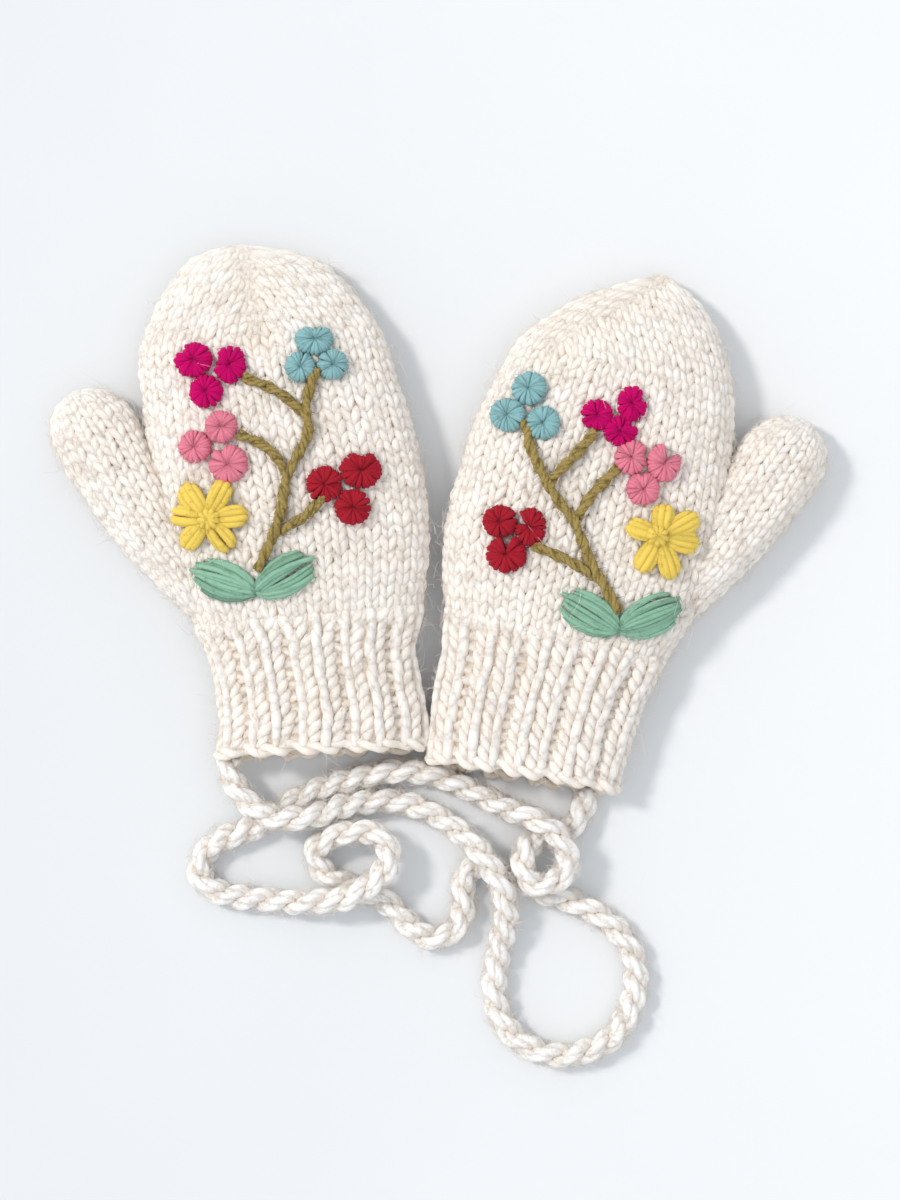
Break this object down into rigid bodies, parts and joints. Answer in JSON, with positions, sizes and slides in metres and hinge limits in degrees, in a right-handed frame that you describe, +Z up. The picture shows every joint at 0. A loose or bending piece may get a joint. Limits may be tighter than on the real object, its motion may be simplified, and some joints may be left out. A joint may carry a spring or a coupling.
{
  "type": "pair of wool mittens on a cord",
  "caption": "Pair of small hand-knitted wool mittens with ribbed cuffs and embroidered flowers, joined by one twisted cord.",
  "frame": {"origin": "centre of the pair's underside, where the mittens lie, midway between the thumbs and between cuffs and fingertips", "axes": "+X across the pair towards the right-hand mitten's thumb, +Y from the cuffs to the fingertips, +Z up from the palms"},
  "size_m": [0.242, 0.2566, 0.0273],
  "materials": {
    "cream_wool": "fuzzy hand-knitted wool",
    "magenta_yarn": "matte wool yarn",
    "teal_yarn": "matte wool yarn",
    "pink_yarn": "matte wool yarn",
    "red_yarn": "matte wool yarn",
    "yellow_yarn": "matte wool yarn",
    "green_yarn": "matte wool yarn",
    "olive_yarn": "matte wool yarn"
  },
  "bodies": {
    "root": {"left_cuff": "cream_wool", "left_hand": "cream_wool", "left_thumb": "cream_wool", "left_magenta_knot_1": "magenta_yarn", "left_magenta_knot_2": "magenta_yarn", "left_magenta_knot_3": "magenta_yarn", "left_teal_knot_1": "teal_yarn", "left_teal_knot_2": "teal_yarn", "left_teal_knot_3": "teal_yarn", "left_pink_knot_1": "pink_yarn", "left_pink_knot_2": "pink_yarn", "left_pink_knot_3": "pink_yarn", "left_red_knot_1": "red_yarn", "left_red_knot_2": "red_yarn", "left_red_knot_3": "red_yarn", "left_daisy": "yellow_yarn", "left_leaf_outer": "green_yarn", "left_leaf_inner": "green_yarn", "left_stem": "olive_yarn", "right_cuff": "cream_wool", "right_hand": "cream_wool", "right_thumb": "cream_wool", "right_magenta_knot_1": "magenta_yarn", "right_magenta_knot_2": "magenta_yarn", "right_magenta_knot_3": "magenta_yarn", "right_teal_knot_1": "teal_yarn", "right_teal_knot_2": "teal_yarn", "right_teal_knot_3": "teal_yarn", "right_pink_knot_1": "pink_yarn", "right_pink_knot_2": "pink_yarn", "right_pink_knot_3": "pink_yarn", "right_red_knot_1": "red_yarn", "right_red_knot_2": "red_yarn", "right_red_knot_3": "red_yarn", "right_daisy": "yellow_yarn", "right_leaf_outer": "green_yarn", "right_leaf_inner": "green_yarn", "right_stem": "olive_yarn", "cord": "cream_wool"}
  },
  "joints": []
}
